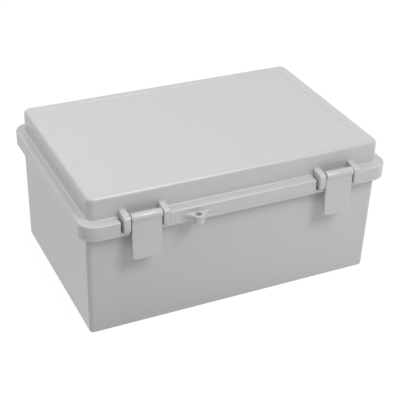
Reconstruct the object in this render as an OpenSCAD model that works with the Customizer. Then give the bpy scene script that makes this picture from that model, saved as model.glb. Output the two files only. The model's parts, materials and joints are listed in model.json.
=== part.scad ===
// Hinged polycarbonate enclosure.
// Origin: centre of the underside of the base. +X right, +Y to the hinge side, +Z up.
// The lid turns about two pins behind the rear rim, and two paddles latch it at the front.

/* [Case] */
// Length of the rim, side to side
case_l = 280; // [250:1:320]
// Depth of the rim, front to rear
case_w = 190; // [160:1:220]
// Height of the closed box
case_h = 130; // [110:1:160]
// Wall thickness of the base and its floor
base_wall = 3; // [2.6:0.1:3.6]
// Wall thickness of the raised part of the lid
lid_wall = 2.8; // [2.4:0.1:3.2]
// Draft of the base walls, in degrees
base_draft = 0.8; // [0.3:0.1:1.5]
// Draft of the raised part of the lid, in degrees
lid_draft = 0.8; // [0.3:0.1:2]

/* [Corners] */
// Plan radius of the rim corners
rim_r = 14; // [12:0.5:17]
// Plan radius of the base corners at the floor
base_r = 3.6; // [3.4:0.1:6]
// Plan radius of the raised lid corners at the ledge
crown_r = 6.3; // [5.6:0.1:9]
// Plan radius of the inside corners of the base, and twice its floor fillet
inner_r = 2.5; // [2:0.1:4]
// Fillet where the raised part of the lid meets its ledge
cove_r = 1.2; // [0.6:0.1:1.6]
// Edge radius round the underside of the base
foot_edge = 2; // [1:0.1:3]
// Edge radius round the top of the lid
crown_edge = 3; // [1:0.1:3.6]
// Edge radius round the outside of the rim
rim_edge = 1; // [0.4:0.1:1.5]

/* [Rim] */
// Height of the raised part of the lid above its ledge
crown_h = 20; // [15:0.5:24]
// Height of the lid's skirt, the upper part of the rim
skirt_h = 9.5; // [8.5:0.1:12]
// Height of the base's lip, the lower part of the rim
lip_h = 3.2; // [2.6:0.1:4]
// Gap between the skirt and the lip
part_gap = 0.3; // [0.3:0.05:0.6]
// Thickness of the lid's ledge
ledge_t = 2.5; // [2:0.1:3]
// Thickness of the skirt's wall
skirt_t = 2.2; // [1.8:0.1:2.4]
// Width of the ledge at the two ends
ledge_end = 7.4; // [6.8:0.1:8.5]
// Width of the ledge at the front and rear
ledge_front = 9.3; // [8.8:0.1:10.2]
// How far the base wall stands in from the rim at the two ends
inset_end = 6.2; // [5.2:0.1:7]
// How far the base wall stands in from the rim at the front and rear
inset_front = 9.5; // [8.6:0.1:10.2]

/* [Seal] */
// Thickness of the tongue on the base wall
tongue_t = 2.4; // [2:0.1:2.8]
// Gap between the tongue and each side of the groove
tongue_gap = 1.2; // [1:0.1:1.4]
// Thickness of the walls on each side of the groove
groove_wall = 1.6; // [1.4:0.1:1.8]
// Thickness of the seal in the groove
seal_t = 3; // [2.5:0.1:3.5]
// Gap left between the seal and the tongue
seal_gap = 0.3; // [0.3:0.05:0.6]

/* [Lid top] */
// How far the shallow recess stands in from the raised part's ends
recess_end = 10.8; // [5:0.1:16]
// How far the shallow recess stands in from the raised part's front and rear
recess_side = 9.3; // [5:0.1:16]
// Plan radius of the recess corners
recess_r = 8; // [2:0.5:14]
// Depth of the recess
recess_depth = 0.5; // [0.3:0.1:1]

/* [Latches] */
// Distance of each latch from the end of the rim
latch_end = 52.2; // [46:0.1:62]
// Width of the paddle's plate
paddle_w = 25.4; // [22:0.1:27]
// Length of the paddle below its pin
paddle_drop = 37.2; // [30:0.1:45]
// Depth of the rib behind each side of the paddle's plate
paddle_rib = 2.6; // [1:0.1:3.4]
// Thickness of the paddle's plate
paddle_t = 1.9; // [1.6:0.1:2]
// Corner radius at the foot of the paddle
paddle_r = 3.5; // [1:0.1:6]
// How far the foot of the paddle flares out
paddle_flare = 1.7; // [0:0.1:3]
// Diameter of the paddle's barrel
barrel_d = 7.4; // [7:0.1:8]
// Gap between each end of the barrel and the ear beside it
barrel_gap = 0.9; // [0.5:0.1:1.2]
// Width of each ear
ear_w = 5.6; // [5:0.1:7]
// How far the ears stand out in front of the rim
ear_reach = 3.5; // [3:0.1:5]
// Height of the ears above the ledge at their root
ear_rise = 6.4; // [6:0.1:8]
// How much lower the ears are at their front
ear_fall = 1.5; // [0.5:0.1:2]
// Height of the latch pin above the ledge
latch_pin_z = 2.2; // [1.8:0.1:2.6]
// Radius of the ears' upper front corner
ear_top_r = 2.6; // [1.5:0.1:3]
// Radius of the ears' lower front corner
ear_low_r = 1.2; // [0.6:0.1:2]
// Thickness left outside the blind pin hole of each ear
ear_skin = 1.2; // [0.8:0.1:1.6]
// Width of the slot in the rim beside each ear
notch_gap = 1.6; // [1.2:0.1:4]
// How far the paddle's hook reaches into its pocket in the lip
hook_reach = 2.2; // [1.5:0.1:2.8]
// Running gap around the hook in its pocket
hook_gap = 0.5; // [0.4:0.1:0.8]

/* [Padlock tab] */
// Distance of the tab from the left latch, towards the middle
tab_from_latch = 43.3; // [38:0.1:60]
// Width of the tab at its root
tab_w = 27.4; // [24:0.1:30]
// How far the tab stands out from the rim
tab_reach = 10; // [9:0.1:12]
// Radius of the tab's tip
tab_tip_r = 4.4; // [4:0.1:5]
// Diameter of the padlock hole
tab_hole_d = 5.8; // [4:0.1:6.5]
// Distance of the padlock hole's centre from the tab's tip
tab_hole_back = 5.7; // [5:0.1:7]
// Depth of the tab's top below the ledge
tab_top = 4.4; // [3.5:0.1:5]
// Thickness of the upper half of the tab
tab_t = 3; // [2.4:0.1:3.2]
// Height of the lower half's underside above the lip's
tab_foot = 1.7; // [0:0.1:2]

/* [Hinge] */
// Distance of each hinge from the end of the rim
hinge_end = 52; // [45:0.5:70]
// Distance of the hinge pin behind the rim
hinge_back = 6; // [5.6:0.1:8]
// Outer radius of the knuckles
knuckle_r = 4.2; // [3.8:0.1:4.6]
// Length of each of the three knuckles
knuckle_l = 14; // [10:0.5:18]
// Gap between neighbouring knuckles
knuckle_gap = 0.4; // [0.3:0.05:0.6]

/* [Pins] */
// Diameter of the hinge and latch pins
pin_d = 3; // [2.5:0.1:3.4]
// Radial running clearance of a pin
pin_gap = 0.05; // [0.03:0.01:0.08]

/* [Mounting panel] */
// Gap between the panel and the base wall at the ends
panel_gap = 12; // [9:0.5:18]
// Thickness of the panel
panel_t = 2; // [1.5:0.1:3]
// Height of the bosses that carry the panel, from the floor
panel_boss_h = 15; // [13:0.5:25]
// Distance of the panel screws from the panel's edges
panel_screw_inset = 12; // [10:0.5:16]
// Radius of the bosses for inserts
boss_r = 5; // [4.6:0.1:6]
// Corner radius of the panel
panel_r = 8; // [4:0.5:14]

/* [Inserts and screws] */
// Outer diameter of a brass insert
insert_d = 6; // [5.6:0.1:6.6]
// Length of a brass insert
insert_l = 9; // [7:0.5:11]
// Hole in an insert of the underside, for an M5 thread
foot_hole_d = 4.2; // [4:0.1:4.6]
// Distance of the underside inserts from the ends of the rim
foot_end = 20; // [19:0.5:28]
// Distance of the underside inserts from the front and rear of the rim
foot_side = 21; // [21:0.5:30]
// Diameter of a panel screw
screw_d = 4; // [3:0.1:4.4]
// Length of a panel screw below its head
screw_l = 10; // [8:0.5:11]

/* [Hidden] */
$fn = 48;
eps = 0.02;
cut = 1;
sides = [-1, 1];
inner_wall_r = 1;

// Heights
ledge_z = case_h - crown_h;
skirt_z = ledge_z - skirt_h;
lip_top = skirt_z - part_gap;
lip_z = lip_top - lip_h;
seal_z = ledge_z - ledge_t - seal_t;
tongue_top = seal_z - seal_gap;

// Plan sizes, each [length, width], and their corner radii
rim = [case_l, case_w];
wall_top = rim - 2 * [inset_end, inset_front];
wall_grow = lip_top * tan(base_draft);
wall_foot = wall_top - 2 * [wall_grow, wall_grow];
wall_top_r = base_r + wall_grow;
tongue = grown(wall_top, tongue_t - base_wall);
tongue_r = wall_top_r + tongue_t - base_wall;
groove = grown(tongue, tongue_gap);
groove_r = tongue_r + tongue_gap;
groove_in = grown(tongue, -tongue_t - tongue_gap);
groove_in_z = skirt_z + 1.5;
groove_in_r = max(tongue_r - tongue_t - tongue_gap, groove_wall + inner_wall_r);
crown = rim - 2 * [ledge_end, ledge_front];
notch_y = groove.y / 2 + groove_wall;
foot_pitch = rim - 2 * [foot_end, foot_side];

// Latch
latch_x = case_l / 2 - latch_end;
tab_x = latch_x - tab_from_latch;
latch_y = -case_w / 2;
latch_z = ledge_z + latch_pin_z;
barrel_over = 0.6;
barrel_l = paddle_w + barrel_over;
ear_in = barrel_l / 2 + barrel_gap;
ear_out = ear_in + ear_w;
ear_lift = 1.2;
ear_drop = skirt_h - ear_lift;
latch_pin_l = 2 * (ear_out - ear_skin);
hook_tip = latch_y + hook_reach;
hook_edge = 0.6;
plate_back = 1.4;
rib_t = 0.8 * paddle_t;

// Hinge
hinge_x = case_l / 2 - hinge_end;
hinge_y = case_w / 2 + hinge_back;
hinge_z = (skirt_z + lip_top) / 2;
hinge_step = knuckle_l + knuckle_gap;
hinge_l = 3 * knuckle_l + 2 * knuckle_gap;
knuckle_root = 0.8;

// Mounting panel
floor_in = grown(wall_foot, -base_wall);
panel = grown(floor_in, -panel_gap + tan(base_draft) * panel_boss_h);
panel_z = base_wall + panel_boss_h;
panel_screw = panel - 2 * [panel_screw_inset, panel_screw_inset];
washer_t = 0.8;
washer_r = screw_d * 1.1;
washer_hole_d = screw_d + 0.3;
panel_hole_d = screw_d + 0.6;
foot_boss_h = insert_l + 1;

shell = "#cfd1d0";
steel = "#b9bcc0";
zinc = "#c8ccd2";
brass = "#c9a24a";
rubber = "#55585c";

// A plan size grown by d on every side
function grown(s, d) = s + 2 * [d, d];

// Rounded rectangle with true arcs
module plan(s, r) {
    square([s.x - 2 * r, s.y], center = true);
    square([s.x, s.y - 2 * r], center = true);
    four([s.x - 2 * r, s.y - 2 * r]) circle(r);
}

module slab(s, r, z0, z1) {
    translate([0, 0, z0]) linear_extrude(z1 - z0) plan(s, r);
}

module frame(s, r, t, z0, z1) {
    translate([0, 0, z0]) linear_extrude(z1 - z0) difference() {
        plan(s, r);
        plan(grown(s, -t), max(r - t, inner_wall_r));
    }
}

// Copies at the four corners of a rectangle
module four(s) {
    for (x = sides, y = sides) translate([x * s.x / 2, y * s.y / 2]) children();
}

// Quarter round from the side to the end face, as points of a revolved outline
function round_over(x, z, r, a0, a1) = [for (i = [0:6]) let (a = a0 + (a1 - a0) * i / 6)
    [x + r * cos(a), z + r * sin(a)]];

// Drafted block: corner posts revolved and hulled, with a rounded foot
module drafted(s, r, h, grow, edge, z0) {
    translate([0, 0, z0]) hull() four([s.x - 2 * r, s.y - 2 * r]) rotate_extrude($fn = 40)
        polygon(concat([[0, 0]], round_over(r - edge, edge, edge, -90, 0), [[r + grow, h], [0, h]]));
}

// A bar along X with its centre at [x, y, z]
module rod(x, y, z, r, l) {
    translate([x, y, z]) rotate([0, 90, 0]) cylinder(r = r, h = l, center = true);
}

// ---- Base ----

module base_tub() {
    difference() {
        drafted(wall_foot, base_r, lip_top, wall_grow, foot_edge, 0);
        drafted(floor_in, inner_r, lip_top - base_wall + cut, wall_grow, inner_r / 2, base_wall);
    }
}

// Lip with a pocket behind each paddle for its hook
module rim_lip() {
    pocket = [paddle_w + 2 * hook_gap, hook_reach + hook_gap];
    translate([0, 0, lip_z]) linear_extrude(lip_h) difference() {
        plan(rim, rim_r);
        plan(tongue, tongue_r);
        for (x = [-latch_x, latch_x]) translate([x - pocket.x / 2, -case_w / 2 - cut])
            square(pocket + [0, cut]);
    }
}

// Boss on the floor, rooted a little into it
module floor_bosses(s, h) {
    four(s) translate([0, 0, base_wall / 2]) cylinder(r = boss_r, h = h + base_wall / 2);
}

// Knuckle with a foot that reaches the rim between two heights
module knuckle(x, z0, z1, bore) {
    difference() {
        union() {
            rod(x, hinge_y, hinge_z, knuckle_r, knuckle_l);
            translate([x - knuckle_l / 2, case_w / 2 - knuckle_root, z0])
                cube([knuckle_l, hinge_back + knuckle_root, z1 - z0]);
        }
        rod(x, hinge_y, hinge_z, bore, knuckle_l + 2 * cut);
    }
}

module base_box() color(shell) {
    difference() {
        union() {
            base_tub();
            rim_lip();
            frame(tongue, tongue_r, tongue_t, lip_z, tongue_top);
            floor_bosses(panel_screw, panel_boss_h);
            floor_bosses(foot_pitch, foot_boss_h);
            for (x = [-hinge_x, hinge_x], i = sides)
                knuckle(x + i * hinge_step, hinge_z - knuckle_r, lip_top, pin_d / 2);
        }
        four(panel_screw) translate([0, 0, panel_z - insert_l]) cylinder(d = insert_d, h = insert_l + cut);
        four(foot_pitch) translate([0, 0, -cut]) cylinder(d = insert_d, h = insert_l + cut);
    }
}

module insert(l, hole) {
    difference() {
        cylinder(d = insert_d, h = l);
        translate([0, 0, -cut]) cylinder(d = hole, h = l + 2 * cut);
    }
}

module panel_inserts() color(brass) {
    four(panel_screw) translate([0, 0, panel_z - insert_l]) insert(insert_l, screw_d);
}

module foot_inserts() color(brass) {
    four(foot_pitch) insert(insert_l, foot_hole_d);
}

module mounting_panel() color(zinc) {
    difference() {
        slab(panel, panel_r, panel_z, panel_z + panel_t);
        four(panel_screw) translate([0, 0, panel_z - cut])
            cylinder(d = panel_hole_d, h = panel_t + 2 * cut);
    }
}

module panel_washers() color(steel) {
    four(panel_screw) translate([0, 0, panel_z + panel_t]) difference() {
        cylinder(r = washer_r, h = washer_t);
        translate([0, 0, -cut]) cylinder(d = washer_hole_d, h = washer_t + 2 * cut);
    }
}

// Pan head screws with a cross recess
module panel_screws() color(steel) {
    head_z = panel_z + panel_t + washer_t;
    head_h = screw_d * 0.6;
    four(panel_screw) translate([0, 0, head_z]) difference() {
        union() {
            cylinder(d = screw_d * 2, h = head_h);
            translate([0, 0, -screw_l]) cylinder(d = screw_d, h = screw_l + eps);
        }
        for (a = [0, 90]) rotate(a) translate([0, 0, head_h])
            cube([screw_d, screw_d / 5, head_h], center = true);
    }
}

module hinge_pin(x) {
    color(steel) rod(x, hinge_y, hinge_z, pin_d / 2, hinge_l);
}

// ---- Padlock tab ----

// Flared tab: a round tip on a root that sweeps out along the rim
module tab_plan() {
    tip_y = -case_w / 2 - tab_reach + tab_tip_r;
    flare_r = tab_w / 2 - tab_tip_r;
    root_y = -case_w / 2;
    translate([-tab_x, 0]) difference() {
        union() {
            translate([0, tip_y]) circle(tab_tip_r);
            translate([-tab_w / 2, min(tip_y, root_y - flare_r)])
                square([tab_w, root_y + cut - min(tip_y, root_y - flare_r)]);
        }
        for (i = sides) translate([i * (tab_tip_r + flare_r), root_y - flare_r]) circle(flare_r);
        translate([0, tip_y - tab_tip_r + tab_hole_back]) circle(d = tab_hole_d);
    }
}

module base_padlock_tab() color(shell) {
    z0 = lip_z + tab_foot;
    z1 = ledge_z - tab_top - tab_t - part_gap;
    difference() {
        translate([0, 0, z0]) linear_extrude(z1 - z0) tab_plan();
        translate([-case_l / 2, -case_w / 2 - part_gap, lip_top]) cube([case_l, case_w, ledge_z]);
        translate([-case_l / 2, -case_w / 2, z0 - cut]) cube([case_l, case_w, ledge_z]);
    }
}

module lid_padlock_tab() color(shell) {
    z0 = ledge_z - tab_top - tab_t;
    difference() {
        translate([0, 0, z0]) linear_extrude(tab_t) tab_plan();
        translate([-case_l / 2, -case_w / 2, z0 - cut]) cube([case_l, case_w, ledge_z]);
    }
}

// ---- Lid ----

// Outline of an ear seen from the end: it falls towards the front and is round at its corners
module ear_outline() {
    y0 = latch_y - ear_reach;
    y_back = lid_wall / 2 - crown.y / 2;
    y_low = groove_wall / 2 - notch_y;
    z0 = ledge_z - ear_drop;
    z_mid = ledge_z - ledge_t / 2;
    top = ledge_z + ear_rise;
    fall = atan(ear_fall / (y_back - y0));
    top_z = top - ear_fall - ear_top_r;
    polygon([[y0, z0 + ear_low_r], [y0 + ear_low_r, z0], [y_low, z0], [y_low, z_mid], [y_back, z_mid],
             [y_back, top], [y0 + ear_top_r * (1 - sin(fall)), top_z + ear_top_r * cos(fall)], [y0, top_z]]);
    translate([y0 + ear_top_r, top_z]) circle(ear_top_r);
    translate([y0 + ear_low_r, z0 + ear_low_r]) circle(ear_low_r);
}

// Extrudes a Y-Z outline along X over the length l about x
module along_x(x, l) {
    translate([x - l / 2, 0, 0]) rotate([90, 0, 90]) linear_extrude(l) children();
}

module crown_block(s, r, h, edge) {
    grow = h * tan(lid_draft);
    translate([0, 0, ledge_z]) hull() four([s.x - 2 * r, s.y - 2 * r]) rotate_extrude($fn = 40)
        polygon(concat([[0, -ledge_t / 2], [r, -ledge_t / 2], [r, 0]],
                       round_over(r - grow - edge, h - edge, edge, 0, 90), [[0, h]]));
}

// Fillet round the foot of the raised part, in two flat steps
module crown_cove(s, r) {
    steps = [[cove_r, 0], [cove_r * (1 - sin(45)), cove_r * (1 - sin(45))], [0, cove_r]];
    for (i = [0:1]) translate([0, 0, ledge_z]) hull() four([s.x - 2 * r, s.y - 2 * r]) rotate_extrude($fn = 40)
        polygon([[0, -ledge_t / 2], [r + steps[i].x, -ledge_t / 2], [r + steps[i].x, steps[i].y],
                 [r + steps[i + 1].x, steps[i + 1].y], [0, steps[i + 1].y]]);
}

module rim_block() {
    translate([0, 0, ledge_z]) hull() four(rim - 2 * [rim_r, rim_r]) rotate_extrude($fn = 40)
        polygon(concat([[0, -ledge_t], [rim_r, -ledge_t]],
                       round_over(rim_r - rim_edge, -rim_edge, rim_edge, 0, 90), [[0, 0]]));
}

module notch(x) {
    w = 2 * (ear_out + notch_gap);
    translate([x - w / 2, -case_w / 2 - cut, skirt_z - cut])
        cube([w, case_w / 2 + cut - notch_y, skirt_h + 2 * cut]);
}

module lid_cover() color(shell) {
    inner = grown(groove_in, -groove_wall);
    difference() {
        union() {
            difference() {
                union() {
                    rim_block();
                    frame(rim, rim_r, skirt_t, skirt_z, ledge_z - ledge_t);
                    frame(grown(groove, groove_wall), groove_r + groove_wall, groove_wall,
                          skirt_z, ledge_z - ledge_t / 2);
                    frame(groove_in, groove_in_r, groove_wall, groove_in_z, ledge_z - ledge_t / 2);
                    crown_block(crown, crown_r, crown_h, crown_edge);
                    crown_cove(crown, crown_r);
                }
                for (x = [-latch_x, latch_x]) notch(x);
            }
            for (x = [-latch_x, latch_x], i = sides)
                along_x(x + i * (ear_in + ear_w / 2), ear_w) ear_outline();
            for (x = [-hinge_x, hinge_x]) knuckle(x, skirt_z, hinge_z + knuckle_r, pin_d / 2 + pin_gap);
        }
        crown_block(grown(crown, -lid_wall), crown_r - lid_wall,
                    crown_h - recess_depth - base_wall, crown_edge / 2);
        slab(inner, groove_in_r - groove_wall, ledge_z - ledge_t - cut, ledge_z);
        slab(crown - 2 * [recess_end, recess_side], recess_r, case_h - recess_depth, case_h + cut);
        for (x = [-latch_x, latch_x]) rod(x, latch_y, latch_z, pin_d / 2, latch_pin_l);
    }
}

module lid_gasket() color(rubber) {
    frame(groove, groove_r, tongue_t + 2 * tongue_gap, seal_z, ledge_z - ledge_t);
}

// ---- Latch ----

// Curve of the paddle's front face: it leaves the barrel straight and flares at its foot
function paddle_y(z) = latch_y - barrel_d / 2 + plate_back - paddle_flare * pow((latch_z - z) / paddle_drop, 2);

// Rib behind one side of the plate, seen from the end: it rises from the foot to just under the lip
module paddle_rib_outline() {
    z0 = latch_z - paddle_drop + paddle_r;
    z1 = z0 + 2 * paddle_r;
    z2 = lip_z - 2 * hook_gap;
    polygon([[paddle_y(z0) + paddle_t / 2, z0], [paddle_y(z0) + paddle_t, z0],
             [paddle_y(z1) + paddle_t + paddle_rib, z1], [paddle_y(z2) + paddle_t + paddle_rib, z2],
             [paddle_y(z2) + paddle_t / 2, z2]]);
}

module latch_paddle(x) {
    foot_z = latch_z - paddle_drop;
    levels = [for (i = [0:10]) latch_z - paddle_drop * i / 10];
    hook_root = paddle_y(lip_z) + paddle_t / 2;
    color(shell) difference() {
        union() {
            rod(x, latch_y, latch_z, barrel_d / 2, barrel_l);
            intersection() {
                along_x(x, paddle_w) polygon(concat([for (z = levels) [paddle_y(z), z]],
                    [for (i = [10:-1:0]) [paddle_y(levels[i]) + paddle_t, levels[i]]]));
                translate([x, 0, 0]) rotate([90, 0, 0]) linear_extrude(case_w) union() {
                    translate([-paddle_w / 2, foot_z + paddle_r]) square([paddle_w, paddle_drop]);
                    translate([-paddle_w / 2 + paddle_r, foot_z])
                        square([paddle_w - 2 * paddle_r, 2 * paddle_r]);
                    for (i = sides) translate([i * (paddle_w / 2 - paddle_r), foot_z + paddle_r])
                        circle(paddle_r);
                }
            }
            along_x(x, paddle_w) polygon([[hook_root, lip_top], [hook_tip - hook_edge, lip_top],
                [hook_tip, lip_top - hook_edge], [hook_tip, lip_z + lip_h / 3], [hook_root, lip_z - lip_h]]);
            for (i = sides) along_x(x + i * (paddle_w - rib_t) / 2, rib_t) paddle_rib_outline();
        }
        rod(x, latch_y, latch_z, pin_d / 2 + pin_gap, barrel_l + 2 * cut);
    }
}

module latch_pin(x) {
    color(steel) rod(x, latch_y, latch_z, pin_d / 2, latch_pin_l);
}

base_box();
base_padlock_tab();
panel_inserts();
foot_inserts();
mounting_panel();
panel_screws();
panel_washers();
hinge_pin(-hinge_x);  // hinge_pin_left
hinge_pin(hinge_x);  // hinge_pin_right
lid_cover();
lid_gasket();
lid_padlock_tab();
latch_pin(-latch_x);  // latch_pin_left
latch_pin(latch_x);  // latch_pin_right
latch_paddle(-latch_x);  // latch_paddle_left
latch_paddle(latch_x);  // latch_paddle_right
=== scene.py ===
# %% [markdown]
# # A hinged polycarbonate enclosure
# The object is a moulded electrical box: a deep drafted base, a raised lid on two pin hinges at the
# rear, two snap paddles at the front and a pair of padlock tabs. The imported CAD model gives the
# main sizes and the places of the joints. This script dresses it: it rebuilds the mouldings as
# smooth closed meshes with real edge radii, gives each piece its finish, and sets up a plain pale
# studio.

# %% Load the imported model
import json
import math

import bmesh
import bpy
from mathutils import Matrix, Vector


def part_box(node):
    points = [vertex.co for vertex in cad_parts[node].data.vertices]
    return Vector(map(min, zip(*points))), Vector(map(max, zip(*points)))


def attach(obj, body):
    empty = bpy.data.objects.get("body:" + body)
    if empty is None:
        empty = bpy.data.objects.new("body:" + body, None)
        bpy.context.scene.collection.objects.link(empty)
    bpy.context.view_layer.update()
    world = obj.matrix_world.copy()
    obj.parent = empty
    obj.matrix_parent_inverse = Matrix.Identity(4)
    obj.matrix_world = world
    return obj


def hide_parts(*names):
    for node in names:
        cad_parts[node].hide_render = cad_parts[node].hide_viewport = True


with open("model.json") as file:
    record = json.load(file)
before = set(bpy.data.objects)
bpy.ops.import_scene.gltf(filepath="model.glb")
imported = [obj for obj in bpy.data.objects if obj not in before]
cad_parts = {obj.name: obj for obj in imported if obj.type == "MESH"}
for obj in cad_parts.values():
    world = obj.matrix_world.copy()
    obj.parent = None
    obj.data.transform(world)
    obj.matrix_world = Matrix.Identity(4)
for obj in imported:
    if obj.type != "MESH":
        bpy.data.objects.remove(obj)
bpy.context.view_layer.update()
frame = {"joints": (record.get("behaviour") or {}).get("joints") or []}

# %% [markdown]
# ## The camera
# A long lens looks down at the front left corner. The camera is turned in three steps: it is tipped
# down from the horizon, swung to the left of the front, and rolled a little. Building the rotation
# from those three angles keeps them readable, which typing nine matrix numbers wouldn't.

# %% Camera
SWING = math.radians(-26.102)
TIP = math.radians(31.25)
ROLL = math.radians(2.083)
EYE = (-0.352293, -0.729203, 0.543947)
FOCAL_MM = 93.42
SENSOR_MM = 36

lens = bpy.data.cameras.new("camera")
lens.lens = FOCAL_MM
lens.sensor_width = SENSOR_MM
camera = bpy.data.objects.new("camera", lens)
camera.matrix_world = (
    Matrix.Translation(EYE)
    @ Matrix.Rotation(SWING, 4, "Z")
    @ Matrix.Rotation(math.pi / 2 - TIP, 4, "X")
    @ Matrix.Rotation(ROLL, 4, "Z")
)
bpy.context.scene.collection.objects.link(camera)
bpy.context.scene.camera = camera
bpy.context.scene.view_settings.view_transform = "Standard"
print("camera at", EYE, "m with a", FOCAL_MM, "mm lens")

# %% [markdown]
# ## Sizes from the frame
# Heights and half sizes come from the boxes of the CAD nodes and the places of the joints. What a
# node's box can't tell is named once, in metres: the shared sizes here, and the rest at the top of
# the cell that uses it. OVER is how far a cutter reaches past the face it cuts.

# %% Sizes
MM = 0.001
OVER = 1 * MM
base_low, base_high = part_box("base_box")
lid_low, lid_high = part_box("lid_cover")
seal_low, seal_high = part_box("lid_gasket")
paddle_low, paddle_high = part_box("latch_paddle_right")
joint_at = {j["name"]: Vector(j["pos_m"]) for j in frame["joints"]}
HINGE = joint_at["lid_hinge"]
LATCH = joint_at["latch_right_pivot"]

PART_GAP = 0.3 * MM
LIP_SINK = 0.1 * MM
LEDGE_T = 2.5 * MM
LIP_H = 3.2 * MM
SKIRT_T = 2.2 * MM
WALL = 3 * MM
LID_WALL = 2.8 * MM
GROOVE_WALL = 1.6 * MM
DRAFT_DEG = 0.8
DRAFT = math.tan(math.radians(DRAFT_DEG))

TOP_Z = lid_high.z
LEDGE_Z = seal_high.z + LEDGE_T
SKIRT_Z = HINGE.z + PART_GAP / 2
LIP_TOP = HINGE.z - PART_GAP / 2
LIP_Z = LIP_TOP - LIP_H
LIP_FACE = SKIRT_Z - LIP_SINK
TONGUE_TOP = seal_low.z - PART_GAP
print("ledge at", round(LEDGE_Z / MM, 1), "mm, lid top at", round(TOP_Z / MM, 1), "mm")

# %% [markdown]
# ## Plan outlines
# Every wall of both mouldings is a rounded rectangle seen from above. An outline is written as half
# length, half depth and corner radius. Moving in from it by a distance shortens all three, which is
# how parallel walls, drafts and fillets are made.

# %% Outlines
def inset(outline, by):
    """The outline moved inwards by a distance, or outwards if it is negative."""
    return tuple(max(v - by, 0.0) for v in outline)


RIM_R = 14 * MM
CROWN_IN = (7.4 * MM, 9.3 * MM)
CROWN_R = 6.3 * MM
WALL_IN = (6.2 * MM, 9.5 * MM)
WALL_R = 5.0 * MM
TONGUE_IN = 0.6 * MM
GROOVE_ROUND = 1.2 * MM
GROOVE_WIDE = 3.6 * MM
GROOVE_IN_R = 2.6 * MM

RIM = (base_high.x, -base_low.y, RIM_R)
CROWN = (RIM[0] - CROWN_IN[0], RIM[1] - CROWN_IN[1], CROWN_R)
WALL_TOP = (RIM[0] - WALL_IN[0], RIM[1] - WALL_IN[1], WALL_R)
WALL_FOOT = inset(WALL_TOP, LIP_TOP * DRAFT)
TONGUE = inset(WALL_TOP, TONGUE_IN)
GROOVE = (seal_high.x, seal_high.y, TONGUE[2] + GROOVE_ROUND)
GROOVE_IN = (*inset(TONGUE, GROOVE_WIDE)[:2], GROOVE_IN_R)
print("rim, half sizes and corner in mm:", [round(v / MM, 1) for v in RIM])


# %% [markdown]
# ## Rows of a profile
# A moulding's section is a list of rows, each an outline at a height. A fillet is a run of rows
# along a quarter circle. Long flat stretches get a support row near each end: without it, smooth
# shading would bend the whole flat towards the fillet beside it.

# %% Profile rows
ARC_STEPS = 6
SUPPORT = 0.35 * MM


def row(outline, by, z):
    return (*inset(outline, by), z)


def bend(outline, by, z, radius, start, stop):
    """Rows along an arc about (by, z). Degrees: 0 points outwards, 90 up, 180 inwards."""
    rows = []
    for i in range(ARC_STEPS + 1):
        angle = math.radians(start + (stop - start) * i / ARC_STEPS)
        rows.append(row(outline, by - radius * math.cos(angle), z + radius * math.sin(angle)))
    return rows


def supported(rows):
    """The rows with two more on each long stretch, close to its ends."""
    full = [rows[0]]
    for a, b in zip(rows, rows[1:]):
        a, b = Vector(a), Vector(b)
        length = (b - a).length
        if length > 4 * SUPPORT:
            full += [tuple(a.lerp(b, SUPPORT / length)), tuple(b.lerp(a, SUPPORT / length))]
        full.append(tuple(b))
    return full


# %% [markdown]
# ## Geometry Nodes: a loft round a rounded rectangle
# The lid, the base and the seal all follow one rule, so one node tree makes them. It takes the
# profile rows as points whose position holds the corner's centre and the height, and whose
# attribute holds the corner radius. A grid with one line per row is bent round the four corners.
# Modelling the walls by hand would give the same shape once, but this one follows a changed size.

# %% Helpers for node trees
def put(tree, kind, *sources, **options):
    """Adds a node, sets its options, feeds its inputs in order and returns its first output."""
    node = tree.nodes.new(kind)
    for name, value in options.items():
        setattr(node, name, value)
    live = [s for s in node.inputs if s.enabled]
    for socket, source in zip(live, sources):
        if isinstance(source, bpy.types.NodeSocket):
            tree.links.new(source, socket)
        else:
            socket.default_value = source
    return next(s for s in node.outputs if s.enabled)


def calc(tree, operation, *sources):
    return put(tree, "ShaderNodeMath", *sources, operation=operation)


def new_tree(name, kind, inputs, outputs):
    """An empty node tree with named sockets, its input node's sockets and its output node."""
    tree = bpy.data.node_groups.new(name, kind)
    for label, socket_type, value in inputs:
        socket = tree.interface.new_socket(label, in_out="INPUT", socket_type=socket_type)
        if value is not None:
            socket.default_value = value
    for label, socket_type in outputs:
        tree.interface.new_socket(label, in_out="OUTPUT", socket_type=socket_type)
    start = tree.nodes.new("NodeGroupInput")
    end = tree.nodes.new("NodeGroupOutput")
    return tree, start.outputs, end.inputs


# %% The loft tree
CORNER_STEPS = 14
JOIN = 1e-6


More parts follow.
